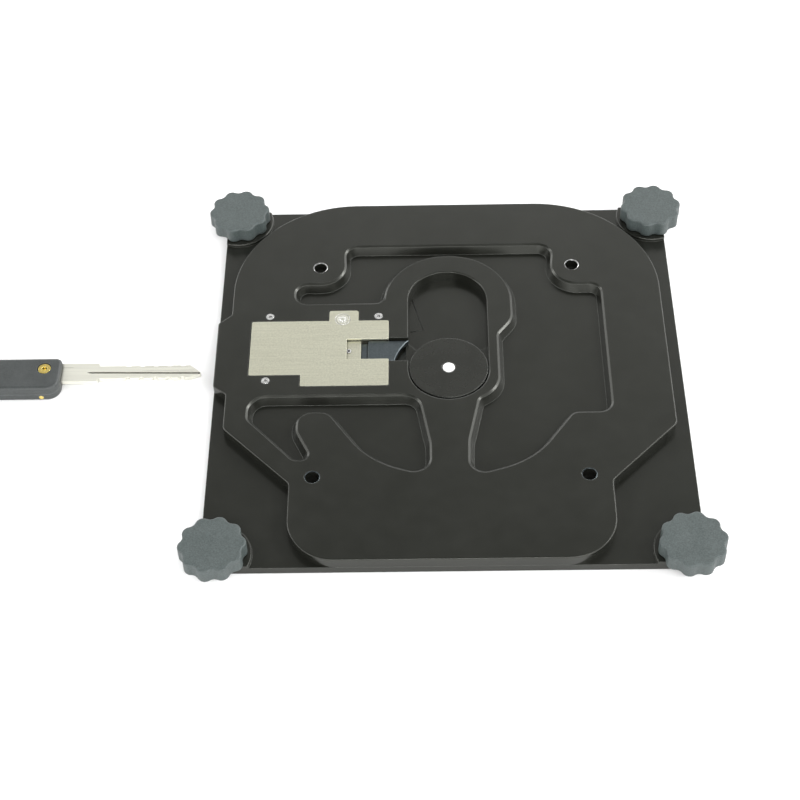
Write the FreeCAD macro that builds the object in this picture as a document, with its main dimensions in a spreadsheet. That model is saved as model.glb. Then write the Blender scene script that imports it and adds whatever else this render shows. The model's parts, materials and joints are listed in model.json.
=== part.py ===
import FreeCAD, Part
import math
import os

# Flat steering wheel lock: a square base plate carries a thick body plate with shaped pockets.
# A cassette lock, opened by a push key, throws a bolt under the cap of a sliding hub disc.
# Millimetres. The origin is the centre of the base plate's underside, +Z up.

doc = FreeCAD.newDocument("wheel_lock")
sheet = doc.addObject("Spreadsheet::Sheet", "sizes")

DRIVING = {
    "plate_side": 160, "base_thick": 3, "body_thick": 4, "edge_round": 0.45, "rim_round": 0.5,
    "body_half": 75.5, "front_half": 52.6, "shoulder_y": -49.4, "side_y": -26, "rear_round": 43,
    "front_round": 16, "key_side_x": -80, "key_side_rear": 21.5, "key_side_front": -7.5,
    "pocket_depth": 3.4, "pocket_slope": 24, "rim_slope": 55, "ring_top": 53.3, "burr": 0.2,
    "hole_dx": 45, "hole_rear": 48, "hole_front": -47, "hole_rad": 2.25, "hole_rim": 0.35,
    "hub_x": 0.2, "hub_y": 0, "slot_rad": 13.8, "slot_front": -0.5, "slot_rear": 31.2,
    "ledge_high": 1, "ledge_bevel": 0.3, "lip_thick": 1.3,
    "cap_rad": 13.5, "cap_thick": 0.55, "cap_low": 6.1,
    "cap_edge": 0.25, "cap_sink": 0.35, "neck_rad": 8,
    "hub_pin_rad": 2.05, "hub_pin_proud": 0.1, "hub_pin_deep": 2.5,
    "case_left": -68.2, "case_right": -20.4, "case_rear": 21.9, "case_mid_x": -50.5,
    "case_front_left": -2.9, "case_front": -8, "case_low": 1, "sheet_thick": 0.8, "case_gap": 0.2,
    "tab_left": -41.2, "tab_right": -31, "tab_rear": 26.7, "mark_x": -36.5, "mark_y": 22.6,
    "mark_rad": 2.7, "mark_wide": 0.35, "mark_deep": 0.15, "cover_edge": 0.12,
    "window_left": -34.9, "window_front": 4, "window_rear": 13.3,
    "channel_front": 3, "channel_rear": 13.7,
    "bolt_front": 3.8, "bolt_rear": 13.2, "bolt_low": 4.1, "bolt_high": 6, "bolt_step": -27.6,
    "bolt_tail": -36.8, "bolt_nose_rad": 19, "bolt_edge": 0.25, "tail_high": 5.1, "tail_inset": 0.6,
    "block_left": -66.5, "block_right": -37, "block_front": 5.3, "block_rear": 16.4,
    "block_low": 1.9, "block_high": 5.1, "lug_left": -40.2, "lug_front": -1.3, "arm_thick": 1.25,
    "deck_left": -64, "deck_right": -30, "deck_front": 4.2, "deck_rear": 16.4, "deck_high": 5.9,
    "link_x": -34.2, "link_y": 8.5, "link_rad": 0.9, "link_high": 6.1,
    "wafer_first": -63.6, "wafer_pitch": 4.7, "wafer_thick": 1, "wafer_front": 5, "wafer_rear": 12,
    "wafer_low": 2.2, "wafer_high": 4.9, "wafer_gap": 0.06, "leaf_y": 12.8, "leaf_thick": 0.3,
    "coil_y": 18.8, "coil_z": 3.9, "coil_rad": 1.6, "wire_rad": 0.25, "coil_turns": 11,
    "coil_left": -38.7, "coil_right": -21.4,
    "knob_x": 75.5, "knob_y": 75.2, "knob_rad": 10.9, "knob_low": 4.4, "knob_high": 9.8,
    "lobe_rad": 2.6, "knob_edge": 0.6, "boss_rad": 12.2, "boss_high": 1.1,
    "skirt_rad": 8.6, "knob_turn": 5,
    "stud_rad": 2.5, "stud_high": 8.6, "insert_rad": 4.2, "insert_low": 4.2, "insert_high": 8.8,
    "fit_gap": 0.05,
    "key_y": 2, "key_z": 3.2, "blade_thick": 1.5, "neck_wide": 8.1, "blade_wide": 5.6,
    "neck_y": 2.15, "blade_root": -147, "head_right": -133, "shoulder_x": -120.3, "tip_x": -84.6,
    "head_left": -180, "head_front": -7.2, "head_rear": 7, "head_thick": 6.4, "groove_deep": 0.55,
    "head_edge": 1.2, "key_screw_x": -138.7, "key_screw_y": 2,
    "key_pin_x": -139.3, "key_pin_z": 1.75, "key_pin_rad": 0.85, "key_pin_long": 3,
    "key_screw_rad": 2.15, "key_shank_rad": 0.9, "key_seat_deep": 1.2, "key_screw_sunk": 0.15,
    "key_socket_rad": 1, "key_socket_deep": 0.8,
    "ring_hole_x": -174.5, "ring_hole_rad": 2.4, "keyway_gap": 0.3,
    "case_screw_rad": 1.4, "case_head_high": 0.6, "case_head_sunk": 0.05, "case_socket_rad": 0.6,
    "case_socket_deep": 0.45, "plate_screw_rad": 1.45, "plate_screw_head": 2.9, "screw_skin": 1,
}
for row, (alias, value) in enumerate(DRIVING.items(), start=1):
    sheet.set("A%d" % row, alias)
    sheet.set("B%d" % row, str(value))
    sheet.setAlias("B%d" % row, alias)
doc.recompute()

LOBES = 10
WAFERS = 5
# How far a cutting outline overruns the surface it leaves through.
BEYOND = 1
# Cuts in the blade: the last one's place behind the tip, their span, depths and half widths.
CUT_START = -6.5
CUT_SPAN = 19
CUT_DEEP = 0.55
CUT_SHALLOW = 0.3
CUT_FOOT = 1.1
CUT_FLAT = 0.5
KNOBS = {"rear_left": (-1, 1), "rear_right": (1, 1), "front_left": (-1, -1), "front_right": (1, -1)}
PLATE_SCREWS = [(-60, 60), (60, 60), (-74, 14), (65, 10), (-43, -70), (43, -70)]
CASE_SCREWS = [(-62, 24.3), (-24, 24), (-62.3, -5.3)]
PARTS = []


def size(alias):
    return float(sheet.get(alias))


def vec(x, y, z=0.0):
    return FreeCAD.Vector(x, y, z)


def rounded(points):
    """Closed loop of lines and tangent arcs from corners (x, y, corner radius)."""
    corners = []
    count = len(points)
    for index, (x, y, radius) in enumerate(points):
        here = vec(x, y)
        back = vec(*points[index - 1][:2]) - here
        ahead = vec(*points[(index + 1) % count][:2]) - here
        if radius == 0:
            corners.append((here, here, here))
            continue
        half = back.getAngle(ahead) / 2
        back.normalize()
        ahead.normalize()
        reach = radius / math.tan(half)
        middle = back + ahead
        middle.normalize()
        mid = here + middle * (radius / math.sin(half) - radius)
        corners.append((here + back * reach, mid, here + ahead * reach))
    curves = []
    for index, (start, mid, end) in enumerate(corners):
        if (end - start).Length > 1e-6:
            curves.append(Part.Arc(start, mid, end))
        following = corners[(index + 1) % count][0]
        if (following - end).Length > 1e-6:
            curves.append(Part.LineSegment(end, following))
    return curves


def grown(points, distance):
    """The same corners, with every side moved outwards and the radii to suit."""
    area = sum(ax * by - bx * ay for (ax, ay, _), (bx, by, _) in zip(points, points[1:] + points[:1]))
    turn = 1 if area > 0 else -1
    result = []
    for index, (x, y, radius) in enumerate(points):
        into = vec(x, y) - vec(*points[index - 1][:2])
        out = vec(*points[(index + 1) % len(points)][:2]) - vec(x, y)
        into.normalize()
        out.normalize()
        bulge = turn * into.cross(out).z
        normal = (vec(into.y, -into.x) + vec(out.y, -out.x)) * turn
        shift = normal * (2 * distance / normal.Length ** 2)
        result.append((x + shift.x, y + shift.y, radius + math.copysign(distance, bulge)))
    return result


def rectangle(left, right, front, rear, radius=0):
    return rounded([(left, front, radius), (right, front, radius),
                    (right, rear, radius), (left, rear, radius)])


def circle(x, y, radius):
    return [Part.Circle(vec(x, y), vec(0, 0, 1), radius)]


def register(piece):
    PARTS.append(piece)
    return piece


def new_body(name):
    body = doc.addObject("PartDesign::Body", name)
    body.Label = name
    return register(body)


def sketch_on(body, name, curves, height, plane="XY_Plane"):
    sketch = body.newObject("Sketcher::SketchObject", body.Name + "_" + name)
    origin_plane = [feature for feature in body.Origin.OriginFeatures if feature.Role == plane][0]
    sketch.AttachmentSupport = (origin_plane, [""])
    sketch.MapMode = "FlatFace"
    sketch.setExpression("AttachmentOffset.Base.z", height)
    sketch.addGeometry(curves, False)
    return sketch


def pad(body, name, curves, height, length):
    feature = body.newObject("PartDesign::Pad", body.Name + "_" + name + "_pad")
    feature.Profile = sketch_on(body, name, curves, height)
    feature.setExpression("Length", length)
    doc.recompute()
    return feature


def pocket(body, name, curves, height, depth, upward=False, slope=None):
    before = body.Shape.Volume
    feature = body.newObject("PartDesign::Pocket", body.Name + "_" + name + "_cut")
    feature.Profile = sketch_on(body, name, curves, height)
    feature.setExpression("Length", depth)
    feature.Reversed = upward
    if slope:
        feature.setExpression("TaperAngle", slope)
    doc.recompute()
    if body.Shape.Volume >= before - 1e-6:
        raise RuntimeError(body.Name + " " + name + " removes nothing")
    return feature


def round_edges(body, name, radius, wanted, kind="Fillet"):
    base = body.Tip
    names = ["Edge%d" % (number + 1) for number, edge in enumerate(base.Shape.Edges) if wanted(edge)]
    feature = body.newObject("PartDesign::" + kind, body.Name + "_" + name)
    feature.Base = (base, names)
    feature.setExpression("Radius" if kind == "Fillet" else "Size", radius)
    doc.recompute()
    return feature


def flat_at(height):
    """Selects edges that lie wholly in the plane z = height."""
    def test(edge):
        box = edge.BoundBox
        return abs(box.ZMin - height) < 1e-4 and abs(box.ZMax - height) < 1e-4
    return test


def block(name, low, high):
    """A box between two corners whose coordinates are expressions in the sheet."""
    box = doc.addObject("Part::Box", name)
    box.Label = name
    for axis, side, start, stop in zip("xyz", ("Length", "Width", "Height"), low, high):
        box.setExpression("Placement.Base." + axis, start)
        box.setExpression(side, "(%s) - (%s)" % (stop, start))
    return box


def rod(name, x, y, low, high, radius):
    cylinder = doc.addObject("Part::Cylinder", name)
    cylinder.Label = name
    for axis, start in zip("xyz", (x, y, low)):
        cylinder.setExpression("Placement.Base." + axis, start)
    cylinder.setExpression("Height", "(%s) - (%s)" % (high, low))
    cylinder.setExpression("Radius", radius)
    return cylinder


def solid_feature(name, shape):
    feature = doc.addObject("Part::Feature", name)
    feature.Label = name
    feature.Shape = shape
    return register(feature)


def corner_boss(side_x, side_y):
    """Raised pad under a knob, cut off by the plate's two edges."""
    edge = size("plate_side") / 2
    reach_x = math.sqrt(size("boss_rad") ** 2 - (edge - size("knob_y")) ** 2)
    reach_y = math.sqrt(size("boss_rad") ** 2 - (edge - size("knob_x")) ** 2)
    along_x = vec(side_x * (size("knob_x") - reach_x), side_y * edge)
    along_y = vec(side_x * edge, side_y * (size("knob_y") - reach_y))
    lean = size("boss_rad") * math.sqrt(0.5)
    middle = vec(side_x * (size("knob_x") - lean), side_y * (size("knob_y") - lean))
    corner = vec(side_x * edge, side_y * edge)
    sides = [Part.LineSegment(along_y, corner), Part.LineSegment(corner, along_x)]
    return sides + [Part.Arc(along_x, middle, along_y)]


def case_outline(grow):
    """Stepped outline of the cassette lock, grown outwards by a gap."""
    left = size("case_left") - grow
    right = size("case_right") + grow
    rear = size("case_rear") + grow
    front = size("case_front") - grow
    upper_front = size("case_front_left") - grow
    step = size("case_mid_x") - grow
    return [(left, upper_front, 0), (step, upper_front, 0), (step, front, 0), (right, front, 0),
            (right, rear, 0), (left, rear, 0)]


def make_base_plate():
    body = new_body("base_plate")
    half = size("plate_side") / 2
    pad(body, "plate", rectangle(-half, half, -half, half, 0.6), "0", "sizes.base_thick")
    bosses = []
    for side_x, side_y in KNOBS.values():
        bosses += corner_boss(side_x, side_y)
    pad(body, "bosses", bosses, "sizes.base_thick", "sizes.boss_high")
    round_edges(body, "boss_edges", "sizes.edge_round", boss_arc)
    round_edges(body, "plate_edges", "sizes.burr", flat_at(0), "Chamfer")
    pocket(body, "case_seat", rounded(case_outline(size("case_gap"))), "sizes.base_thick",
           "sizes.base_thick - sizes.case_low")
    keyway = rectangle(size("key_side_x") - BEYOND, size("case_left"), *keyway_edges())
    pocket(body, "keyway", keyway, "sizes.base_thick",
           "sizes.base_thick - sizes.key_z + sizes.blade_thick / 2 + sizes.keyway_gap / 2")
    studs = []
    for side_x, side_y in KNOBS.values():
        studs += circle(side_x * size("knob_x"), side_y * size("knob_y"), size("stud_rad"))
    boss_top = "sizes.base_thick + sizes.boss_high"
    pocket(body, "stud_holes", studs, boss_top, boss_top)
    pocket(body, "mount_holes", mount_circles(), "sizes.base_thick", "sizes.base_thick")
    shanks = []
    for x, y in PLATE_SCREWS:
        shanks += circle(x, y, size("plate_screw_rad") + size("fit_gap"))
    pocket(body, "screw_holes", shanks, "sizes.base_thick", "sizes.base_thick")
    round_edges(body, "sinks", "sizes.plate_screw_head - sizes.plate_screw_rad", screw_rim, "Chamfer")
    small = []
    for x, y in CASE_SCREWS:
        small += circle(x, y, size("case_screw_rad") / 2 + size("fit_gap"))
    pocket(body, "case_screw_holes", small, "sizes.base_thick",
           "sizes.base_thick - sizes.screw_skin")
    return body


def boss_arc(edge):
    """The curved upper edge of a raised corner."""
    top = size("base_thick") + size("boss_high")
    return flat_at(top)(edge) and isinstance(edge.Curve, Part.Circle)


def keyway_edges():
    half = size("neck_wide") / 2 + size("keyway_gap")
    return size("neck_y") - half, size("neck_y") + half


def screw_rim(edge):
    """The lower rims of the countersunk screw holes."""
    if not flat_at(0)(edge) or not isinstance(edge.Curve, Part.Circle):
        return False
    return abs(edge.Curve.Radius - size("plate_screw_rad") - size("fit_gap")) < 1e-3


def mount_circles():
    rings = []
    for side in (-1, 1):
        for y in (size("hole_rear"), size("hole_front")):
            rings += circle(side * size("hole_dx"), y, size("hole_rad"))
    return rings


def body_outline():
    half = size("body_half")
    front = -size("plate_side") / 2
    rear = size("plate_side") / 2
    narrow = size("front_half")
    return rounded([
        (-narrow, front, size("front_round")), (narrow, front, size("front_round")),
        (narrow, size("shoulder_y"), 3), (half, size("side_y"), 3),
        (half, rear, size("rear_round")), (-half, rear, size("rear_round")),
        (-half, size("key_side_rear") + 4, 1.5), (size("key_side_x"), size("key_side_rear"), 1.5),
        (size("key_side_x"), size("key_side_front"), 1.5), (-half, size("key_side_front") - 3.5, 1.5),
        (-half, size("side_y"), 3), (-narrow, size("shoulder_y"), 3)])


def large_pocket():
    """Pocket that runs behind the slot, down the right side and round the front of the hub."""
    ring_top = size("ring_top")
    return [
        (-36.3, 58.5, 4.5), (38.6, 58.5, 5), (36.5, 38.7, 9.3), (54.7, 38.7, 4),
        (54.7, -20.6, 4.5), (41.5, -20.6, 4), (27.5, -40.6, 30), (6.2, -47.3, 5),
        (6.6, -32, 12), (10.3, -14.2, 3), (17.5, -9.5, 10), (17.5, 14.8, 3),
        (22.8, 22, 8), (22.8, ring_top, 22), (-22, ring_top, 22), (-22, 30.3, 3.5),
        (-53.5, 30.3, 4.6), (-53.5, 40.2, 4.6), (-35.4, 39.4, 9)]


def front_left_pocket():
    """Pocket in front of the cassette lock, with a tongue each side of the screw boss."""
    return [
        (-67.7, -12.3, 6.5), (-10.2, -12.3, 6), (-6.5, -33, 12), (-6.4, -47, 5.5),
        (-26.5, -40.5, 30), (-40.6, -19.4, 5), (-50.8, -19.4, 5), (-51, -27.5, 6),
        (-45.2, -39.8, 2.6), (-51.6, -39.8, 3), (-67.7, -22, 3)]


def slot_outline():
    left = size("hub_x") - size("slot_rad")
    right = size("hub_x") + size("slot_rad")
    front = size("slot_front")
    rear = size("slot_rear")
    bottom = vec(size("hub_x"), front - size("slot_rad"))
    top = vec(size("hub_x"), rear + size("slot_rad"))
    return [Part.Arc(vec(left, front), bottom, vec(right, front)),
            Part.LineSegment(vec(right, front), vec(right, rear)),
            Part.Arc(vec(right, rear), top, vec(left, rear)),
            Part.LineSegment(vec(left, rear), vec(left, front))]


def make_body_plate():
    body = new_body("body_plate")
    deck = "sizes.base_thick + sizes.body_thick"
    top = size("base_thick") + size("body_thick")
    pad(body, "outline", body_outline(), "sizes.base_thick", "sizes.body_thick")
    round_edges(body, "edges", "sizes.edge_round", flat_at(top))
    for name, outline in (("large", large_pocket()), ("front_left", front_left_pocket())):
        pocket(body, name, rounded(outline), deck, "sizes.pocket_depth", slope="-sizes.pocket_slope")
        rim = rounded(grown(outline, size("rim_round")))
        pocket(body, name + "_rim", rim, deck, "sizes.rim_round", slope="-sizes.rim_slope")
    pocket(body, "slot", slot_outline(), deck, "sizes.body_thick")
    round_edges(body, "slot_rim", "sizes.edge_round", slot_rim)
    pocket(body, "case_room", rounded(case_outline(size("case_gap"))), deck, "sizes.body_thick")
    tab = rectangle(size("tab_left") - size("case_gap"), size("tab_right") + size("case_gap"),
                    size("case_rear"), size("tab_rear") + size("case_gap"))
    pocket(body, "tab_room", tab, deck, "sizes.sheet_thick + sizes.fit_gap")
    channel = rectangle(size("case_right"), size("hub_x") - size("slot_rad") + BEYOND,
                        size("channel_front"), size("channel_rear"))
    pocket(body, "bolt_channel", channel, deck, "sizes.body_thick")
    keyway = rectangle(size("key_side_x") - BEYOND, size("case_left"), *keyway_edges())
    pocket(body, "keyway", keyway, "sizes.base_thick",
           "sizes.key_z - sizes.base_thick + sizes.blade_thick / 2 + sizes.keyway_gap / 2", upward=True)
    pocket(body, "mount_holes", mount_circles(), deck, "sizes.body_thick")
    round_edges(body, "hole_rims", "sizes.hole_rim", hole_rim, "Chamfer")
    blind = []
    for x, y in PLATE_SCREWS:
        blind += circle(x, y, size("plate_screw_rad") + size("fit_gap"))
    pocket(body, "screw_holes", blind, "sizes.base_thick", "sizes.body_thick - sizes.screw_skin",
           upward=True)
    heads = []
    shanks = []
    for x, y in CASE_SCREWS:
        heads += circle(x, y, size("case_screw_rad") + 0.25)
        shanks += circle(x, y, size("case_screw_rad") / 2 + size("fit_gap"))
    pocket(body, "screw_seats", heads, deck, "sizes.case_head_high + 2 * sizes.case_head_sunk")
    pocket(body, "screw_shanks", shanks, deck, "sizes.body_thick")
    ledges = rounded([(-14.5, 14.6, 0), (-9.7, 9.3, 0), (-9.7, -10.5, 0), (-14.5, -10.5, 0)])
    ledges += rounded([(10.3, 9.7, 1), (14.9, 12.2, 0), (14.9, -10.5, 0), (10.3, -10.5, 0)])
    pad(body, "ledges", ledges, "sizes.base_thick", "sizes.ledge_high")
    round_edges(body, "ledge_edges", "sizes.ledge_bevel", ledge_edge, "Chamfer")
    relief = rounded([(57, -49.6, 0), (54.3, -46.9, 1.5), (72.6, -28.6, 1.5), (75.6, -31.2, 0)])
    pocket(body, "side_relief", relief, "sizes.base_thick", "sizes.body_thick - sizes.lip_thick",
           upward=True)
    return body


def ledge_edge(edge):
    """The free upper edges at the rear of the two ledges beside the hub."""
    top = size("base_thick") + size("ledge_high")
    box = edge.BoundBox
    return flat_at(top)(edge) and box.YMin > 9 and box.YLength > 1.5 and box.YMax < 15 and box.XLength > 1.5


def slot_rim(edge):
    """The upper edges of the slot, before anything crosses it."""
    top = size("base_thick") + size("body_thick")
    if not flat_at(top)(edge):
        return False
    if isinstance(edge.Curve, Part.Circle):
        return abs(edge.Curve.Radius - size("slot_rad")) < 1e-4
    box = edge.BoundBox
    return box.XLength < 1e-4 and abs(abs(box.XMin - size("hub_x")) - size("slot_rad")) < 1e-4


def hole_rim(edge):
    """The upper rims of the four mounting holes."""
    top = size("base_thick") + size("body_thick")
    if not flat_at(top)(edge) or not isinstance(edge.Curve, Part.Circle):
        return False
    return abs(edge.Curve.Radius - size("hole_rad")) < 1e-3


def joined(name, base, tools, kind):
    """A labelled boolean of Part objects: Part::Cut or Part::MultiFuse."""
    result = doc.addObject(kind, name)
    result.Label = name
    if kind == "Part::Cut":
        result.Base = base
        result.Tool = tools
    else:
        result.Shapes = [base] + tools
    doc.recompute()
    return result


def group(name, pieces):
    """Identical loose fasteners that share one node."""
    compound = doc.addObject("Part::Compound", name)
    compound.Label = name
    compound.Links = pieces
    return register(compound)


def make_lock_case():
    body = new_body("lock_case")
    floor_top = "sizes.case_low + sizes.sheet_thick"
    rim = "sizes.base_thick + sizes.body_thick - sizes.sheet_thick"
    pad(body, "block", rounded(case_outline(0)), "sizes.case_low", "%s - sizes.case_low" % rim)
    pocket(body, "room", rounded(case_outline(-size("sheet_thick"))), rim, "%s - (%s)" % (rim, floor_top))
    half = size("blade_wide") / 2 + size("keyway_gap")
    wall = size("sheet_thick") + size("case_gap")
    slit = rectangle(size("case_left") - BEYOND, size("case_left") + wall,
                     size("key_y") - half, size("key_y") + half)
    pocket(body, "key_slit", slit, "sizes.key_z + sizes.blade_thick / 2 + sizes.keyway_gap / 2",
           "sizes.blade_thick + sizes.keyway_gap")
    mouth = rectangle(size("case_right") - wall, size("case_right") + BEYOND,
                      size("bolt_front") - size("keyway_gap"), size("bolt_rear") + size("keyway_gap"))
    pocket(body, "bolt_mouth", mouth, rim, "%s - sizes.bolt_low + sizes.case_gap" % rim)
    return body


def make_lock_cover():
    body = new_body("lock_cover")
    top = "sizes.base_thick + sizes.body_thick"
    left, right = size("case_left"), size("case_right")
    rear, front = size("case_rear"), size("case_front")
    notch = size("window_left")
    outline = rounded([
        (left, size("case_front_left"), 0.6), (size("case_mid_x"), size("case_front_left"), 0.3),
        (size("case_mid_x"), front, 0.6), (right, front, 0.6),
        (right, size("window_front"), 0.3), (notch, size("window_front"), 0.3),
        (notch, size("window_rear"), 0.3), (right, size("window_rear"), 0.3),
        (right, rear, 0.6), (size("tab_right"), rear, 0.3), (size("tab_right"), size("tab_rear"), 0.8),
        (size("tab_left"), size("tab_rear"), 0.8), (size("tab_left"), rear, 0.3), (left, rear, 0.6)])
    pad(body, "sheet", outline, top + " - sizes.sheet_thick", "sizes.sheet_thick")
    round_edges(body, "burr", "sizes.cover_edge", flat_at(size("base_thick") + size("body_thick")))
    mark_x, mark_y, mark_rad = size("mark_x"), size("mark_y"), size("mark_rad")
    ring = circle(mark_x, mark_y, mark_rad) + circle(mark_x, mark_y, mark_rad - size("mark_wide"))
    pocket(body, "pressed_ring", ring, top, "sizes.mark_deep")
    return body


def make_carriage():
    """Block that the key pushes, with its deck, the bolt and the wafers' seats."""
    low, high = "sizes.block_low", "sizes.block_high"
    slab = block("block_slab", ("sizes.block_left", "sizes.block_front", low),
                 ("sizes.block_right", "sizes.block_rear", high))
    lug = block("block_lug", ("sizes.lug_left", "sizes.lug_front", low),
                ("sizes.block_right", "sizes.block_front", high))
    arm = block("spring_arm", ("sizes.coil_left - sizes.fit_gap - sizes.arm_thick",
                               "sizes.block_rear - 0.5", low),
                ("sizes.coil_left - sizes.fit_gap", "sizes.coil_y + sizes.coil_rad", high))
    whole = joined("block_whole", slab, [lug, arm], "Part::MultiFuse")
    seats = []
    for number in range(WAFERS):
        left = "%s - sizes.wafer_gap" % wafer_left(number)
        right = "%s + sizes.wafer_thick + sizes.wafer_gap" % wafer_left(number)
        low_seat = "sizes.wafer_low - sizes.wafer_gap"
        seats.append(block("seat_%d" % (number + 1), (left, "sizes.block_front - 1", low_seat),
                           (right, "sizes.leaf_y + sizes.leaf_thick", "sizes.block_high + 1")))
    leaf_room = block("leaf_room", (wafer_left(0) + " - 1.3", "sizes.leaf_y - 0.05", "sizes.wafer_low"),
                      (wafer_left(WAFERS) + " + 0.3", "sizes.leaf_y + sizes.leaf_thick + 0.05",
                       "sizes.block_high + 1"))
    slots = joined("block_slots", leaf_room, seats, "Part::MultiFuse")
    register(joined("carriage_block", whole, slots, "Part::Cut"))
    leaf_rear = "sizes.leaf_y + sizes.leaf_thick"
    leaf = block("wafer_spring", (wafer_left(0) + " - 1.2", "sizes.leaf_y", "sizes.wafer_low + 0.1"),
                 (wafer_left(WAFERS) + " + 0.2", leaf_rear, "sizes.block_high - 0.1"))
    register(leaf)


def wafer_left(number):
    return "sizes.wafer_first + %d * sizes.wafer_pitch" % number


def make_wafers():
    for number in range(WAFERS):
        left = wafer_left(number)
        register(block("wafer_%d" % (number + 1), (left, "sizes.wafer_front", "sizes.wafer_low"),
                       (left + " + sizes.wafer_thick", "sizes.wafer_rear", "sizes.wafer_high")))


def make_deck():
    body = new_body("carriage_deck")
    outline = rectangle(size("deck_left"), size("deck_right"), size("deck_front"), size("deck_rear"), 0.4)
    pad(body, "sheet", outline, "sizes.block_high", "sizes.deck_high - sizes.block_high")
    eye = circle(size("link_x"), size("link_y"), size("link_rad") + 0.01)
    pocket(body, "eye", eye, "sizes.deck_high", "sizes.deck_high - sizes.block_high")
    return body


def make_bolt():
    body = new_body("bolt")
    front, rear = size("bolt_front"), size("bolt_rear")
    nose = size("bolt_nose_rad")
    nose_front = vec(size("hub_x") - math.sqrt(nose ** 2 - front ** 2), front)
    nose_rear = vec(size("hub_x") - math.sqrt(nose ** 2 - rear ** 2), rear)
    mean = (front + rear) / 2
    nose_mid = vec(size("hub_x") - math.sqrt(nose ** 2 - mean ** 2), mean)
    step_front = vec(size("bolt_step"), front)
    step_rear = vec(size("bolt_step"), rear)
    head = [Part.LineSegment(step_front, nose_front), Part.Arc(nose_front, nose_mid, nose_rear),
            Part.LineSegment(nose_rear, step_rear), Part.LineSegment(step_rear, step_front)]
    pad(body, "head", head, "sizes.bolt_low", "sizes.bolt_high - sizes.bolt_low")
    round_edges(body, "edges", "sizes.bolt_edge", flat_at(size("bolt_high")), "Chamfer")
    inset = size("tail_inset")
    tail = rectangle(size("bolt_tail"), size("bolt_step") + BEYOND, front + inset, rear - inset)
    pad(body, "tail", tail, "sizes.bolt_low", "sizes.tail_high - sizes.bolt_low")
    eye = circle(size("link_x"), size("link_y"), size("link_rad") + 0.01)
    pocket(body, "eye", eye, "sizes.tail_high", "sizes.tail_high - sizes.bolt_low")
    return body


def make_link_pin():
    """Hollow rivet that joins the deck to the bolt's tail."""
    barrel = rod("link_barrel", "sizes.link_x", "sizes.link_y", "sizes.bolt_low", "sizes.link_high",
                 "sizes.link_rad")
    eye = rod("link_eye", "sizes.link_x", "sizes.link_y", "sizes.bolt_low + 1", "sizes.link_high",
              "sizes.link_rad / 2")
    register(joined("link_pin", barrel, eye, "Part::Cut"))


def make_bolt_spring():
    """Return spring between the carriage's arm and the case wall, coiled along X."""
    length = size("coil_right") - size("coil_left")
    pitch = length / size("coil_turns")
    spine = Part.makeHelix(pitch, length - 2 * size("wire_rad"), size("coil_rad"))
    wire = Part.Wire(spine.Edges)
    section = Part.Wire(Part.makeCircle(size("wire_rad"), vec(size("coil_rad"), 0), vec(0, 1, 0)))
    coil = wire.makePipeShell([section], True, True)
    place = FreeCAD.Placement(vec(size("coil_left") + size("wire_rad"), size("coil_y"), size("coil_z")),
                              FreeCAD.Rotation(vec(0, 1, 0), 90))
    feature = solid_feature("bolt_spring", coil)
    feature.Placement = place


def make_hub():
    """Cap that slides over the ledges, the neck that runs between them, and the guide pin."""
    x, y = size("hub_x"), size("hub_y")
    neck = new_body("hub_neck")
    pad(neck, "neck", circle(x, y, size("neck_rad")), "sizes.base_thick + 0.1",
        "sizes.cap_low - sizes.base_thick - 0.1")
    cap = new_body("hub_cap")
    pad(cap, "cap", circle(x, y, size("cap_rad")), "sizes.cap_low", "sizes.cap_thick")
    top = size("cap_low") + size("cap_thick")
    round_edges(cap, "rim", "sizes.cap_edge", flat_at(top))
    cap_top = "sizes.cap_low + sizes.cap_thick"
    pocket(cap, "pin_hole", circle(x, y, size("hub_pin_rad") + 0.01), cap_top, "sizes.cap_thick")
    round_edges(cap, "pin_sink", "sizes.cap_sink", pin_rim, "Chamfer")
    depth = "sizes.hub_pin_deep - sizes.cap_thick"
    pocket(neck, "pin_hole", circle(x, y, size("hub_pin_rad") + 0.01), "sizes.cap_low", depth)
    pin = new_body("hub_pin")
    pad(pin, "pin", circle(x, y, size("hub_pin_rad")), cap_top + " - sizes.hub_pin_deep",
        "sizes.hub_pin_deep + sizes.hub_pin_proud")
    round_edges(pin, "bevel", "sizes.cover_edge", flat_at(top + size("hub_pin_proud")), "Chamfer")


def pin_rim(edge):
    """The upper rim of the pin's hole in the cap."""
    top = size("cap_low") + size("cap_thick")
    if not flat_at(top)(edge) or not isinstance(edge.Curve, Part.Circle):
        return False
    return edge.Curve.Radius < size("hub_pin_rad") + 0.1


def make_knob(name, side_x, side_y):
    body = new_body("knob_" + name)
    body.setExpression("Placement.Base.x", "%d * sizes.knob_x" % side_x)
    body.setExpression("Placement.Base.y", "%d * sizes.knob_y" % side_y)
    body.Placement.Rotation = FreeCAD.Rotation(vec(0, 0, 1), size("knob_turn"))
    pad(body, "star", star(), "sizes.knob_low", "sizes.knob_high - sizes.knob_low")
    round_edges(body, "grip", "sizes.knob_edge", flat_at(size("knob_high")))
    pad(body, "skirt", circle(0, 0, size("skirt_rad")), "sizes.insert_low",
        "sizes.knob_low - sizes.insert_low + sizes.knob_edge")
    pocket(body, "insert_room", circle(0, 0, size("insert_rad")), "sizes.insert_low",
           "sizes.insert_high - sizes.insert_low", upward=True)
    insert = new_body("insert_" + name)
    insert.setExpression("Placement.Base.x", "%d * sizes.knob_x" % side_x)
    insert.setExpression("Placement.Base.y", "%d * sizes.knob_y" % side_y)
    ring = circle(0, 0, size("insert_rad")) + circle(0, 0, size("stud_rad") + size("fit_gap"))
    pad(insert, "ring", ring, "sizes.insert_low", "sizes.insert_high - sizes.insert_low")
    return body


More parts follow.
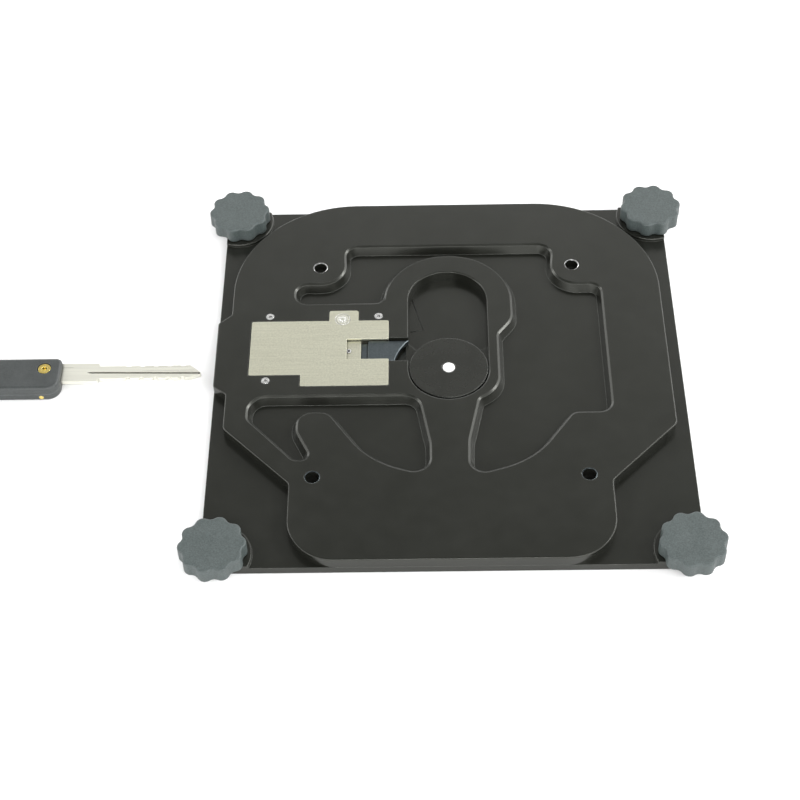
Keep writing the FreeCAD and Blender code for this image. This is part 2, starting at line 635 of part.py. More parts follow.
def star():
    """Outline of a star knob: lobes and flutes of one radius, as arcs that meet tangentially."""
    radius = size("lobe_rad")
    lobe_at = size("knob_rad") - radius
    half_step = math.pi / LOBES
    cosine = lobe_at * math.cos(half_step)
    flute_at = cosine + math.sqrt(cosine ** 2 - lobe_at ** 2 + (2 * radius) ** 2)
    curves = []
    for lobe in range(LOBES):
        angle = 2 * half_step * lobe
        lobe_centre = around(lobe_at, angle)
        before = (lobe_centre + around(flute_at, angle - half_step)) / 2
        after = (lobe_centre + around(flute_at, angle + half_step)) / 2
        following = (around(lobe_at, angle + 2 * half_step) + around(flute_at, angle + half_step)) / 2
        curves.append(Part.Arc(before, around(size("knob_rad"), angle), after))
        curves.append(Part.Arc(after, around(flute_at - radius, angle + half_step), following))
    return curves


def around(distance, angle):
    return vec(distance * math.cos(angle), distance * math.sin(angle))


def make_studs():
    studs = []
    for name, (side_x, side_y) in KNOBS.items():
        studs.append(rod("stud_" + name, "%d * sizes.knob_x" % side_x, "%d * sizes.knob_y" % side_y,
                         "0.2", "sizes.stud_high", "sizes.stud_rad"))
    group("knob_studs", studs)


def make_screws():
    plate = []
    for number, (x, y) in enumerate(PLATE_SCREWS):
        shank = rod("plate_shank_%d" % number, str(x), str(y), "0.05",
                    "sizes.base_thick + sizes.body_thick - 1.2", "sizes.plate_screw_rad")
        head = doc.addObject("Part::Cone", "plate_head_%d" % number)
        head.Placement.Base = vec(x, y, 0.05)
        head.setExpression("Radius1", "sizes.plate_screw_head - 0.1")
        head.setExpression("Radius2", "sizes.plate_screw_rad")
        head.setExpression("Height", "sizes.plate_screw_head - sizes.plate_screw_rad - 0.1")
        plate.append(joined("plate_screw_%d" % number, shank, [head], "Part::MultiFuse"))
    group("plate_screws", plate)
    small = []
    top = "sizes.base_thick + sizes.body_thick"
    face = top + " - sizes.case_head_sunk"
    seat = face + " - sizes.case_head_high"
    for number, (x, y) in enumerate(CASE_SCREWS):
        shank = rod("case_shank_%d" % number, str(x), str(y), "sizes.screw_skin + sizes.case_gap",
                    seat, "sizes.case_screw_rad / 2")
        head = rod("case_head_%d" % number, str(x), str(y), seat, face, "sizes.case_screw_rad")
        socket = rod("case_socket_%d" % number, str(x), str(y), face + " - sizes.case_socket_deep",
                     top, "sizes.case_socket_rad")
        solid = joined("case_blank_%d" % number, shank, [head], "Part::MultiFuse")
        small.append(joined("case_screw_%d" % number, solid, socket, "Part::Cut"))
    group("case_screws", small)


def blade_outline():
    """Key blade seen from above: a wide neck, a shoulder, shallow cuts on both edges and a point."""
    neck = size("neck_wide") / 2
    half = size("blade_wide") / 2
    neck_y, mid_y = size("neck_y"), size("key_y")
    root, shoulder, tip = size("blade_root"), size("shoulder_x"), size("tip_x")
    corners = [(root, neck_y - neck, 0), (shoulder, neck_y - neck, 0.6), (shoulder, mid_y - half, 0.3)]
    first = tip + CUT_START
    for number in range(WAFERS):
        x = first - CUT_SPAN + number * size("wafer_pitch")
        corners += cut_corners(x, mid_y - half, CUT_DEEP)
    corners += [(tip - 4.5, mid_y - half, 1.5), (tip, mid_y - 1.1, 0.5), (tip - 4.2, mid_y + half, 1.5)]
    for number in reversed(range(WAFERS)):
        x = first - CUT_SPAN + number * size("wafer_pitch")
        corners += reversed(cut_corners(x, mid_y + half, -CUT_SHALLOW))
    corners += [(shoulder, mid_y + half, 0.3), (shoulder, neck_y + neck, 0.6), (root, neck_y + neck, 0)]
    return rounded(corners)


def cut_corners(x, edge_y, depth):
    """One flat-bottomed cut in an edge of the blade."""
    return [(x - CUT_FOOT, edge_y, 0), (x - CUT_FLAT, edge_y + depth, 0),
            (x + CUT_FLAT, edge_y + depth, 0), (x + CUT_FOOT, edge_y, 0)]


def make_key_blade():
    body = new_body("key_blade")
    pad(body, "blade", blade_outline(), "sizes.key_z - sizes.blade_thick / 2", "sizes.blade_thick")
    start, stop = size("shoulder_x") - 4.2, size("tip_x") - 0.6
    groove = rounded([(start, 1.9, 0), (start + 2, 1.45, 0), (stop, 0.75, 0), (stop, 1.55, 0),
                      (start + 2, 2.3, 0)])
    for name, height, upward in (("upper", "sizes.key_z + sizes.blade_thick / 2", False),
                                 ("lower", "sizes.key_z - sizes.blade_thick / 2", True)):
        pocket(body, name + "_groove", groove, height, "sizes.groove_deep", upward=upward)
    hole = circle(size("key_screw_x"), size("key_screw_y"), size("key_shank_rad") + 0.2)
    pocket(body, "screw_hole", hole, "sizes.key_z + sizes.blade_thick / 2", "sizes.blade_thick")
    return body


def head_outline():
    rear, front = size("head_rear"), size("head_front")
    right, left = size("head_right"), size("head_left")
    return rounded([(left, front, 6), (right, front, 4.5), (right, rear, 2.2), (left, rear, 6)])


def make_key_head(name, upper):
    body = new_body(name)
    middle = "sizes.head_thick / 2"
    low = middle if upper else "0"
    pad(body, "shell", head_outline(), low, middle)
    outer = size("head_thick") if upper else 0.0
    round_edges(body, "edge", "sizes.head_edge", flat_at(outer))
    neck = size("neck_wide") / 2
    tang = rectangle(size("blade_root") - 0.05, size("head_right") + BEYOND, size("neck_y") - neck - 0.03,
                     size("neck_y") + neck + 0.03)
    depth = "sizes.blade_thick / 2 + 0.02"
    pocket(body, "tang_room", tang, middle, depth, upward=upper)
    middle_y = (size("head_front") + size("head_rear")) / 2
    ring = circle(size("ring_hole_x"), middle_y, size("ring_hole_rad"))
    pocket(body, "ring_hole", ring, low, middle, upward=True)
    screw = circle(size("key_screw_x"), size("key_screw_y"), size("key_shank_rad") + 0.05)
    pocket(body, "screw_hole", screw, low, middle, upward=True)
    if upper:
        seat = circle(size("key_screw_x"), size("key_screw_y"), size("key_screw_rad") + 0.3)
        pocket(body, "screw_seat", seat, "sizes.head_thick", "sizes.key_seat_deep")
    else:
        bore = [Part.Circle(vec(size("key_pin_x"), size("key_pin_z")), vec(0, 0, 1), size("key_pin_rad"))]
        pin_hole = sketch_on(body, "pin_hole", bore, "-sizes.head_front", "XZ_Plane")
        cut = body.newObject("PartDesign::Pocket", "key_pin_cut")
        cut.Profile = pin_hole
        cut.setExpression("Length", "sizes.key_pin_long")
        doc.recompute()
    return body


def make_key_pin():
    """Cross pin seen on the front side of the key's head."""
    body = new_body("key_pin")
    rim = [Part.Circle(vec(size("key_pin_x"), size("key_pin_z")), vec(0, 0, 1), size("key_pin_rad") - 0.02)]
    feature = body.newObject("PartDesign::Pad", "key_pin_pad")
    feature.Profile = sketch_on(body, "rim", rim, "-sizes.head_front - 0.05", "XZ_Plane")
    feature.setExpression("Length", "sizes.key_pin_long - 0.1")
    feature.Reversed = True
    doc.recompute()


def make_key_screw():
    x, y = size("key_screw_x"), size("key_screw_y")
    seat = "sizes.head_thick - sizes.key_seat_deep"
    face = "sizes.head_thick - sizes.key_screw_sunk"
    shank = rod("key_shank", str(x), str(y), "0.6", seat, "sizes.key_shank_rad")
    head = rod("key_screw_head", str(x), str(y), seat, face, "sizes.key_screw_rad")
    socket = doc.addObject("Part::Prism", "key_socket")
    socket.Polygon = 6
    socket.setExpression("Circumradius", "sizes.key_socket_rad")
    socket.Placement.Base = vec(x, y, 0)
    socket.setExpression("Placement.Base.z", face + " - sizes.key_socket_deep")
    socket.setExpression("Height", "sizes.head_thick")
    blank = joined("key_screw_blank", shank, [head], "Part::MultiFuse")
    register(joined("key_screw", blank, socket, "Part::Cut"))


make_base_plate()
make_body_plate()
make_lock_case()
make_lock_cover()
make_carriage()
make_deck()
make_bolt()
make_bolt_spring()
make_wafers()
make_link_pin()
make_hub()
for place_name, (place_x, place_y) in KNOBS.items():
    make_knob(place_name, place_x, place_y)
make_studs()
make_screws()
make_key_blade()
make_key_head("key_head_lower", False)
make_key_head("key_head_upper", True)
make_key_pin()
make_key_screw()

doc.recompute()
for item in doc.Objects:
    if "Invalid" in item.State or "Error" in item.State:
        raise RuntimeError(item.Name + " did not compute")
for part in PARTS:
    if part.Shape.isNull() or not part.Shape.isValid():
        raise RuntimeError(part.Label + " has no valid shape")

os.makedirs("parts", exist_ok=True)
for part in PARTS:
    part.Shape.exportStep("parts/%s.step" % part.Label)
    print(part.Label, len(part.Shape.Solids), round(part.Shape.Volume, 1))
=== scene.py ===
import json
import math
import bmesh
import bpy
from mathutils import Matrix, Vector


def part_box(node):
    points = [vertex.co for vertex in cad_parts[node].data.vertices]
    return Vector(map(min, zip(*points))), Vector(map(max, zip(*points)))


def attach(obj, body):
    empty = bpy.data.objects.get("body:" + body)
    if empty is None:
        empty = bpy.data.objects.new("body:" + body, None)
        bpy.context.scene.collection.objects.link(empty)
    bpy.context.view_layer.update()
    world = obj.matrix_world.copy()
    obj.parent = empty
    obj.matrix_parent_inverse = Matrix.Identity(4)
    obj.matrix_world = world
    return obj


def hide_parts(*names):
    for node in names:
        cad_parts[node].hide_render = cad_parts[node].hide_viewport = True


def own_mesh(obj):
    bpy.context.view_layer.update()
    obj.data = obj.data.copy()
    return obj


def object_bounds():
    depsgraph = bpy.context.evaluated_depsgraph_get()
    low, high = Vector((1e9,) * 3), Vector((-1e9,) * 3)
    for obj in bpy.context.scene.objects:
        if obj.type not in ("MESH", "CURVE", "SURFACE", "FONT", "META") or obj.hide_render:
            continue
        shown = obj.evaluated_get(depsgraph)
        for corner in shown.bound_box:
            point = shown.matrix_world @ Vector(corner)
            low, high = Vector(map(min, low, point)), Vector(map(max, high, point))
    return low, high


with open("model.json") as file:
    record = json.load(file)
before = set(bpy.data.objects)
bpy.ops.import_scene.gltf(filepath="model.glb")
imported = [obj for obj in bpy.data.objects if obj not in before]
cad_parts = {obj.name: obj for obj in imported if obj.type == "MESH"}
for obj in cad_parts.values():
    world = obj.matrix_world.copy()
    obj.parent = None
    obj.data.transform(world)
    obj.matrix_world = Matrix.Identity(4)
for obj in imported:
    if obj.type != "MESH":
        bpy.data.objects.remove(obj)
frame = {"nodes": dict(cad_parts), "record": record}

# Flat steering wheel lock on a pale table, in metres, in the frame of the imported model.

MM = 0.001
low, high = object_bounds()
nodes = frame["nodes"]
mounts = {mount["name"]: mount for mount in frame["record"]["mounts"]}

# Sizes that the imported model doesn't list.
BASE_THICK = 3.0 * MM
RIM_DEPTH = 0.35 * MM
SKIN = 0.03 * MM
COIL_TURNS = 11
COIL_STEPS = 28
WIRE_SIDES = 10
WIRE_RADIUS = 0.25 * MM
SCRIBE_HALF = 0.16 * MM
SCRIBE_THICK = 0.04 * MM
MARK_CENTRE = (-36.5 * MM, 22.6 * MM)
MARK_RINGS = (2.55, 1.75)
MARK_SUNK = 0.01 * MM
MARK_THICK = 0.05 * MM
MARK_HALF = 0.11 * MM
MARK_DASHES = 8
BLACK_SHEEN = (0.98, 1.0, 0.92)


# ---------------------------------------------------------------- node helpers

class Recipe:
    """A node material: a shader with colour, roughness and bump built from procedural layers."""

    def __init__(self, name, metallic=0.0, specular=0.5):
        self.material = bpy.data.materials.new(name)
        self.material.use_nodes = True
        self.tree = self.material.node_tree
        self.shader = self.tree.nodes["Principled BSDF"]
        self.shader.inputs["Metallic"].default_value = metallic
        self.shader.inputs["Specular IOR Level"].default_value = specular
        self.place = self.tree.nodes.new("ShaderNodeTexCoord").outputs["Object"]
        self.normal = None

    def add(self, kind, values=(), links=()):
        made = self.tree.nodes.new(kind)
        for name, value in dict(values).items():
            made.inputs[name].default_value = value
        for name, socket in dict(links).items():
            self.tree.links.new(socket, made.inputs[name])
        return made

    def stretched(self, scale):
        mapping = self.add("ShaderNodeMapping", {"Scale": scale}, {"Vector": self.place})
        return mapping.outputs["Vector"]

    def noise(self, scale, detail=3.0, rough=0.55, stretch=None):
        where = self.stretched(stretch) if stretch else self.place
        made = self.add("ShaderNodeTexNoise",
                        {"Scale": scale, "Detail": detail, "Roughness": rough},
                        {"Vector": where})
        return made.outputs["Fac"]

    def spread(self, factor, start, stop, low_value, high_value):
        made = self.add("ShaderNodeMapRange",
                        {"From Min": start, "From Max": stop,
                         "To Min": low_value, "To Max": high_value},
                        {"Value": factor})
        return made.outputs["Result"]

    def ramp(self, factor, *stops):
        made = self.add("ShaderNodeValToRGB", (), {"Fac": factor})
        ramp = made.color_ramp
        while len(ramp.elements) < len(stops):
            ramp.elements.new(0.5)
        for element, (position, colour) in zip(ramp.elements, stops):
            element.position = position
            element.color = (*colour, 1.0)
        return made.outputs["Color"]

    def mix(self, factor, first, second):
        made = self.tree.nodes.new("ShaderNodeMix")
        made.data_type = "RGBA"
        self.tree.links.new(factor, made.inputs[0])
        for socket, value in ((made.inputs[6], first), (made.inputs[7], second)):
            if isinstance(value, tuple):
                socket.default_value = (*value, 1.0)
            else:
                self.tree.links.new(value, socket)
        return made.outputs[2]

    def soft_edges(self, radius):
        made = self.add("ShaderNodeBevel", {"Radius": radius})
        made.samples = 4
        self.normal = made.outputs["Normal"]

    def bump(self, height, strength, distance):
        links = {"Height": height}
        if self.normal:
            links["Normal"] = self.normal
        made = self.add("ShaderNodeBump", {"Strength": strength, "Distance": distance}, links)
        self.normal = made.outputs["Normal"]

    def edge_mask(self, radius):
        """1 near sharp edges, where the rounded normal leaves the true one."""
        rounded = self.add("ShaderNodeBevel", {"Radius": radius})
        rounded.samples = 4
        true = self.add("ShaderNodeNewGeometry").outputs["Normal"]
        dot = self.add("ShaderNodeVectorMath")
        dot.operation = "DOT_PRODUCT"
        self.tree.links.new(rounded.outputs["Normal"], dot.inputs[0])
        self.tree.links.new(true, dot.inputs[1])
        return self.spread(dot.outputs["Value"], 0.995, 0.86, 0.0, 1.0)

    def painted_recess_shade(self, colour, distance, darkest):
        """Painted shade: darkens a colour in grooves and recesses, where ambient occlusion finds
        them.
        """
        shade = self.add("ShaderNodeAmbientOcclusion", {"Distance": distance})
        shade.samples = 6
        factor = self.spread(shade.outputs["AO"], 0.35, 0.95, 0.0, 1.0)
        return self.mix(factor, darkest, colour)

    def finish(self, colour, roughness, sheen=(1.0, 1.0, 1.0)):
        self.shader.inputs["Specular Tint"].default_value = (*sheen, 1.0)
        self.tree.links.new(colour, self.shader.inputs["Base Color"])
        self.tree.links.new(roughness, self.shader.inputs["Roughness"])
        if self.normal:
            self.tree.links.new(self.normal, self.shader.inputs["Normal"])
        return self.material


# ---------------------------------------------------------------- materials

def scaled(colour, factor):
    """A colour made lighter or darker, with no part above 1."""
    return tuple(min(1.0, factor * part) for part in colour)


def satin_black(name, dark, light, rough_low, rough_high, edge_colour):
    """Black anodised plate: fine blasted grain, faint cloudiness and lighter edges that are
    partly wear and partly painted highlight.
    """
    recipe = Recipe(name)
    cloud = recipe.noise(45.0, 4.0)
    grain = recipe.noise(4200.0, 2.0)
    base = recipe.ramp(cloud, (0.3, dark), (0.7, light))
    # Lighter edges: partly wear, broken up by noise, and partly a painted highlight standing in
    # for glints on rounded edges.
    edge_wear_and_sheen = recipe.spread(recipe.noise(900.0, 3.0), 0.35, 0.75, 0.25, 1.0)
    edge = recipe.add("ShaderNodeMath", (), {0: recipe.edge_mask(0.35 * MM), 1: edge_wear_and_sheen})
    edge.operation = "MULTIPLY"
    colour = recipe.mix(edge.outputs["Value"], base, edge_colour)
    recipe.soft_edges(0.3 * MM)
    recipe.bump(grain, 0.10, 0.03 * MM)
    streak = recipe.noise(160.0, 5.0)
    roughness = recipe.spread(streak, 0.3, 0.7, rough_low, rough_high)
    return recipe.finish(colour, roughness, BLACK_SHEEN)


def brushed_metal(name, dark, light, rough_low, rough_high,
                  along=(60.0, 2200.0, 2200.0), strength=0.12, metallic=1.0):
    """Sheet metal with fine brushing along one axis, a sparkle of grain, a painted highlight on
    its cut edges and painted shade in its recesses.
    """
    recipe = Recipe(name, metallic=metallic)
    lines = recipe.noise(1.0, 3.0, 0.6, along)
    grain = recipe.noise(1700.0, 3.0, 0.7)
    streaks = recipe.ramp(lines, (0.32, dark), (0.68, light))
    tint = recipe.ramp(grain, (0.36, scaled(light, 0.72)), (0.64, light))
    cloud = recipe.spread(recipe.noise(90.0, 4.0), 0.3, 0.7, 0.4, 0.8)
    mixed = recipe.mix(cloud, streaks, tint)
    # Painted highlight: the colour is lightened along sharp edges.
    bright = scaled(light, 1.35)
    colour = recipe.mix(recipe.edge_mask(0.22 * MM), mixed, bright)
    recipe.soft_edges(0.15 * MM)
    recipe.bump(lines, strength, 0.02 * MM)
    recipe.bump(grain, strength, 0.02 * MM)
    # Painted shade: the colour is darkened in recesses.
    colour = recipe.painted_recess_shade(colour, 0.8 * MM, scaled(dark, 0.12))
    return recipe.finish(colour, recipe.spread(grain, 0.3, 0.7, rough_low, rough_high))


def ground_steel(name, dark, light, rough_low, rough_high):
    """Finely ground nickel silver, brighter than bare steel, with painted shade down in its
    grooves.
    """
    recipe = Recipe(name, metallic=0.6)
    lines = recipe.noise(1.0, 2.0, 0.5, (40.0, 900.0, 900.0))
    colour = recipe.ramp(lines, (0.3, dark), (0.7, light))
    recipe.soft_edges(0.1 * MM)
    # Painted shade: the colour is darkened in grooves.
    colour = recipe.painted_recess_shade(colour, 0.9 * MM, scaled(dark, 0.08))
    return recipe.finish(colour, recipe.spread(lines, 0.3, 0.7, rough_low, rough_high))


def moulded_plastic(name, dark, light, rough_low, rough_high, edge_colour,
                    texture=2600.0, strength=0.35):
    """Moulded plastic: eroded texture, faint flow marks, lighter edges that are partly rubbed
    wear and partly painted highlight, and painted shade in recesses.
    """
    recipe = Recipe(name, specular=0.45)
    flow = recipe.noise(180.0, 5.0)
    pits = recipe.noise(texture, 3.0, 0.6)
    base = recipe.ramp(flow, (0.3, dark), (0.7, light))
    speck = recipe.spread(pits, 0.35, 0.65, 0.0, 0.35)
    mottled = recipe.mix(speck, base, edge_colour)
    # Lighter edges: partly rubbed wear, partly a painted highlight on rounded edges.
    colour = recipe.mix(recipe.edge_mask(0.4 * MM), mottled, edge_colour)
    # Painted shade: the colour is darkened in recesses.
    colour = recipe.painted_recess_shade(colour, 1.2 * MM, scaled(dark, 0.25))
    recipe.soft_edges(0.3 * MM)
    recipe.bump(pits, strength, 0.05 * MM)
    return recipe.finish(colour, recipe.spread(flow, 0.3, 0.7, rough_low, rough_high))


def white_acetal(name):
    """Clean white plastic of the hub's pin."""
    recipe = Recipe(name, specular=0.5)
    cloud = recipe.noise(700.0, 3.0)
    colour = recipe.ramp(cloud, (0.3, (0.88, 0.88, 0.86)), (0.7, (0.95, 0.95, 0.94)))
    recipe.bump(recipe.noise(3500.0, 2.0), 0.1, 0.02 * MM)
    return recipe.finish(colour, recipe.spread(cloud, 0.3, 0.7, 0.22, 0.34))


def table_paper(name):
    """Matt white sheet under the lock."""
    recipe = Recipe(name, specular=0.1)
    cloud = recipe.noise(6.0, 3.0)
    colour = recipe.ramp(cloud, (0.3, (0.93, 0.93, 0.93)), (0.7, (0.95, 0.95, 0.95)))
    return recipe.finish(colour, recipe.spread(cloud, 0.3, 0.7, 0.75, 0.85))


RECIPES = {
    "black_plate": (satin_black, (0.0080, 0.0084, 0.0066), (0.0108, 0.0112, 0.0092), 0.20, 0.27,
                    (0.07, 0.074, 0.07)),
    # The black_disc edge colour is lighter than the plate's: a painted highlight on the cap's
    # rim.
    "black_disc": (satin_black, (0.0085, 0.0088, 0.0073), (0.011, 0.0114, 0.0096), 0.24, 0.30,
                   (0.14, 0.148, 0.14)),
    "plated_sheet": (brushed_metal, (0.46, 0.455, 0.355), (0.60, 0.595, 0.475), 0.32, 0.48,
                     (60.0, 2200.0, 2200.0), 0.40, 0.85),
    "bright_steel": (brushed_metal, (0.62, 0.62, 0.60), (0.80, 0.80, 0.78), 0.22, 0.34),
    "dark_steel": (brushed_metal, (0.085, 0.102, 0.108), (0.120, 0.140, 0.148), 0.30, 0.42,
                   (900.0, 60.0, 900.0)),
    "spring_steel": (brushed_metal, (0.42, 0.42, 0.44), (0.60, 0.60, 0.62), 0.25, 0.35),
    "polished_pin": (white_acetal,),
    "nickel_silver": (ground_steel, (0.63, 0.625, 0.55), (0.72, 0.715, 0.63), 0.26, 0.32),
    "brass_screw": (brushed_metal, (0.72, 0.50, 0.12), (0.95, 0.74, 0.25), 0.18, 0.30),
    "wafer_brass": (brushed_metal, (0.60, 0.46, 0.20), (0.78, 0.62, 0.32), 0.28, 0.40),
    "brass_insert": (brushed_metal, (0.62, 0.48, 0.20), (0.80, 0.64, 0.32), 0.25, 0.35),
    "scribe": (satin_black, (0.002, 0.002, 0.002), (0.004, 0.004, 0.004), 0.5, 0.6,
               (0.01, 0.01, 0.01)),
    "knob_plastic": (moulded_plastic, (0.034, 0.044, 0.042), (0.046, 0.057, 0.055), 0.46, 0.60,
                     (0.125, 0.15, 0.15)),
    "key_plastic": (moulded_plastic, (0.022, 0.025, 0.0245), (0.031, 0.035, 0.034), 0.34, 0.46,
                    (0.10, 0.11, 0.11), 3400.0, 0.2),
}
MATERIALS = {name: recipe(name, *values) for name, (recipe, *values) in RECIPES.items()}


def paint(piece, slot_name):
    piece.data.materials.clear()
    piece.data.materials.append(MATERIALS[slot_name])


for entry in frame["record"]["subparts"]:
    paint(nodes[entry["node"]], entry["material_slot"])


# ---------------------------------------------------------------- pieces made here

def keep_mesh(name, mesh, slot_name, body):
    built = bpy.data.meshes.new(name)
    mesh.to_mesh(built)
    mesh.free()
    piece = bpy.data.objects.new(name, built)
    bpy.context.scene.collection.objects.link(piece)
    for face in built.polygons:
        face.use_smooth = True
    paint(piece, slot_name)
    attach(piece, body)
    return piece


def make_bolt_spring():
    """Coil between the carriage's arm and the case wall, fixed in one shape on the frame; the
    real spring shortens as the bolt is thrown.
    """
    near, far = (Vector(corner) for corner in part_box("bolt_spring"))
    wire = WIRE_RADIUS
    radius = (far.y - near.y) / 2 - wire
    centre = (near + far) / 2
    steps = COIL_TURNS * COIL_STEPS
    mesh = bmesh.new()
    rings = []
    for step in range(steps + 1):
        share = step / steps
        angle = share * COIL_TURNS * 2 * math.pi
        along = near.x + wire + share * (far.x - near.x - 2 * wire)
        outward = Vector((0, math.cos(angle), math.sin(angle)))
        middle = Vector((along, centre.y, centre.z)) + outward * radius
        ring = []
        for side in range(WIRE_SIDES):
            lean = side * 2 * math.pi / WIRE_SIDES
            offset = outward * math.cos(lean) + Vector((1, 0, 0)) * math.sin(lean)
            ring.append(mesh.verts.new(middle + offset * wire))
        rings.append(ring)
    for first, second in zip(rings, rings[1:]):
        for side in range(WIRE_SIDES):
            other = (side + 1) % WIRE_SIDES
            mesh.faces.new((first[side], first[other], second[other], second[side]))
    mesh.faces.new(rings[0][::-1])
    mesh.faces.new(rings[-1])
    bmesh.ops.recalc_face_normals(mesh, faces=mesh.faces)
    piece = keep_mesh("return_spring", mesh, "spring_steel", "frame")
    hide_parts("bolt_spring")
    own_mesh(piece)


def ring_piece(name, centre, profile, slot_name, body, steps=72):
    """Turned ring: a closed profile of (radius, height) points swept round a vertical axis."""
    mesh = bmesh.new()
    loops = []
    for step in range(steps):
        angle = step * 2 * math.pi / steps
        spoke = Vector((math.cos(angle), math.sin(angle), 0))
        loops.append([mesh.verts.new(Vector(centre) + spoke * radius + Vector((0, 0, height)))
                      for radius, height in profile])
    count = len(profile)
    for step in range(steps):
        first, second = loops[step], loops[(step + 1) % steps]
        for side in range(count):
            other = (side + 1) % count
            mesh.faces.new((first[side], second[side], second[other], first[other]))
    bmesh.ops.recalc_face_normals(mesh, faces=mesh.faces)
    return keep_mesh(name, mesh, slot_name, body)


def make_hole_rims():
    """Metal on the chamfer of each mounting hole; the rear rims are bright steel as painted
    highlight and the front rims dark steel as painted shade.
    """
    pattern = mounts["screw_pattern"]
    hole = pattern["dims"]["hole_r_mm"] * MM
    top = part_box("body_plate")[1][2]
    outer = hole + RIM_DEPTH - SKIN
    profile = [(hole - SKIN, -RIM_DEPTH), (outer, 0.0), (outer, -SKIN), (hole, -RIM_DEPTH - SKIN)]
    reach_x = pattern["dims"]["spacing_x_mm"] / 2 * MM
    reach_y = pattern["dims"]["spacing_y_mm"] / 2 * MM
    # Lit and shaded copies: bright steel at the rear row is a painted highlight, dark steel at
    # the front row is painted shade.
    for row, side_y, metal in (("rear", 1, "bright_steel"), ("front", -1, "dark_steel")):
        for column, side_x in (("left", -1), ("right", 1)):
            centre = (pattern["pos_m"][0] + side_x * reach_x,
                      pattern["pos_m"][1] + side_y * reach_y, top)
            ring_piece("hole_rim_%s_%s" % (row, column), centre, profile, metal, "frame")


def add_slab(mesh, corners, thickness):
    """A thin prism that stands on a loop of corners."""
    lower = [mesh.verts.new(point) for point in corners]
    upper = [mesh.verts.new(point + Vector((0, 0, thickness))) for point in corners]
    mesh.faces.new(lower[::-1])
    mesh.faces.new(upper)
    count = len(corners)
    for side in range(count):
        other = (side + 1) % count
        mesh.faces.new((lower[side], lower[other], upper[other], upper[side]))


def make_scribed_lines():
    """Two fine marking-out lines on the slot's floor, each narrower at its end."""
    floor_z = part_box("base_plate")[0][2] + BASE_THICK
    ends = (((-12.3, 35.3), (-8.3, 20.2)), ((-12.9, 19.7), (-8.8, 20.4)))
    for number, (start, stop) in enumerate(ends, start=1):
        first = Vector((start[0] * MM, start[1] * MM, floor_z))
        last = Vector((stop[0] * MM, stop[1] * MM, floor_z))
        across = (last - first).normalized().cross(Vector((0, 0, 1))) * SCRIBE_HALF
        mesh = bmesh.new()
        outline = [first + across, first - across, last - across * 0.5, last + across * 0.5]
        add_slab(mesh, outline, SCRIBE_THICK)
        bmesh.ops.recalc_face_normals(mesh, faces=mesh.faces)
        piece = keep_mesh("scribed_line_%d" % number, mesh, "black_disc", "frame")
        piece.data.materials.clear()
        piece.data.materials.append(MATERIALS["scribe"])


def make_inspection_mark():
    """Generic round mark on the cover's tab: two bright rings and a ring of short dashes."""
    centre = Vector((*MARK_CENTRE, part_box("lock_cover")[1][2] - MARK_SUNK))
    crest = MARK_HALF * 0.4
    for number, radius in enumerate(MARK_RINGS, start=1):
        band = radius * MM
        profile = [(band - MARK_HALF, 0), (band - crest, MARK_THICK),
                   (band + crest, MARK_THICK), (band + MARK_HALF, 0)]
        ring_piece("mark_ring_%d" % number, centre, profile, "bright_steel", "frame")
    mesh = bmesh.new()
    for number in range(MARK_DASHES):
        angle = number * 2 * math.pi / MARK_DASHES
        spoke = Vector((math.cos(angle), math.sin(angle), 0))
        inner = centre + spoke * 0.5 * MM
        outer = centre + spoke * 1.4 * MM
        side = spoke.cross(Vector((0, 0, 1))) * SCRIBE_HALF
        corners = [inner - side, outer - side * 1.6, outer + side * 1.6, inner + side]
        add_slab(mesh, corners, MARK_THICK)
    bmesh.ops.recalc_face_normals(mesh, faces=mesh.faces)
    keep_mesh("mark_dashes", mesh, "bright_steel", "frame")


make_bolt_spring()
make_hole_rims()
make_scribed_lines()
make_inspection_mark()

# ---------------------------------------------------------------- floor, light and camera

FLOOR_HALF = 3.0
FLOOR_GAP = 0.02 * MM

floor_mesh = bmesh.new()
bmesh.ops.create_grid(floor_mesh, x_segments=8, y_segments=8, size=FLOOR_HALF)
floor_data = bpy.data.meshes.new("floor")
floor_mesh.to_mesh(floor_data)
floor_mesh.free()
floor = bpy.data.objects.new("floor", floor_data)
floor.location = (0, 0, low[2] - FLOOR_GAP)
bpy.context.scene.collection.objects.link(floor)
floor_data.materials.append(table_paper("table_paper"))


def area_light(name, place, width, depth, power):
    """A rectangular lamp that faces the middle of the base plate."""
    data = bpy.data.lights.new(name, "AREA")
    data.shape = "RECTANGLE"
    data.size = width
    data.size_y = depth
    data.energy = power
    lamp = bpy.data.objects.new(name, data)
    lamp.location = place
    lamp.rotation_euler = (-Vector(place)).to_track_quat("-Z", "Y").to_euler()
    bpy.context.scene.collection.objects.link(lamp)


area_light("front_strip", (0.25, -0.95, 1.2), 1.5, 0.14, 14.0)
area_light("left_softbox", (-1.4, 0.25, 1.0), 1.4, 0.2, 6.0)
area_light("right_softbox", (1.3, 0.45, 1.0), 1.4, 0.2, 13.0)


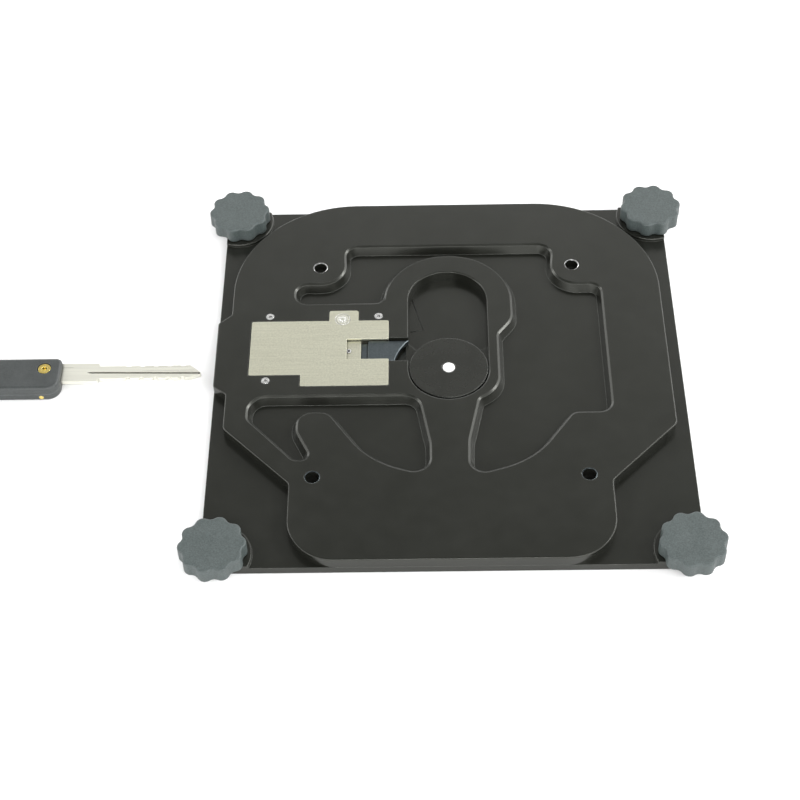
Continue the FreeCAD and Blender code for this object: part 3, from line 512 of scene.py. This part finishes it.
def studio_tent():
    """White tent: bright near the horizon and darker overhead, which shades the satin plates."""
    world = bpy.data.worlds.new("tent")
    world.use_nodes = True
    tree = world.node_tree
    place = tree.nodes.new("ShaderNodeTexCoord")
    split = tree.nodes.new("ShaderNodeSeparateXYZ")
    tree.links.new(place.outputs["Generated"], split.inputs["Vector"])
    ramp = tree.nodes.new("ShaderNodeValToRGB")
    stops = ((0.0, 1.0), (0.10, 2.6), (0.38, 3.0), (0.54, 1.5),
             (0.70, 0.84), (0.84, 0.27), (1.0, 0.20))
    while len(ramp.color_ramp.elements) < len(stops):
        ramp.color_ramp.elements.new(0.5)
    for element, (position, value) in zip(ramp.color_ramp.elements, stops):
        element.position = position
        element.color = (value, value, value, 1.0)
    lean = tree.nodes.new("ShaderNodeMath")
    lean.operation = "MULTIPLY_ADD"
    lean.inputs[1].default_value = -0.15
    tree.links.new(split.outputs["X"], lean.inputs[0])
    tree.links.new(split.outputs["Z"], lean.inputs[2])
    tree.links.new(lean.outputs["Value"], ramp.inputs["Fac"])
    tree.links.new(ramp.outputs["Color"], tree.nodes["Background"].inputs["Color"])
    tree.nodes["Background"].inputs["Strength"].default_value = 1.0
    bpy.context.scene.world = world


studio_tent()


def photo_camera():
    """Camera solved from the square base plate."""
    azimuth = math.radians(1.378)
    elevation = math.radians(49.736)
    roll = math.radians(-1.774)
    distance = 604.61 * MM
    target = Vector((-16.60, -8.81, 0.0)) * MM
    back = Vector((math.sin(azimuth) * math.cos(elevation),
                   -math.cos(azimuth) * math.cos(elevation), math.sin(elevation)))
    side = Vector((0, 0, 1)).cross(back).normalized()
    up = back.cross(side)
    turned_side = side * math.cos(roll) + up * math.sin(roll)
    turned_up = up * math.cos(roll) - side * math.sin(roll)
    data = bpy.data.cameras.new("camera")
    data.lens = 79.72
    data.sensor_width = 36.0
    data.clip_start = 0.01
    camera = bpy.data.objects.new("camera", data)
    turn = Matrix((turned_side, turned_up, back)).transposed().to_4x4()
    camera.matrix_world = Matrix.Translation(target + back * distance) @ turn
    bpy.context.scene.collection.objects.link(camera)
    bpy.context.scene.camera = camera


photo_camera()
bpy.context.scene.view_settings.view_transform = "Standard"
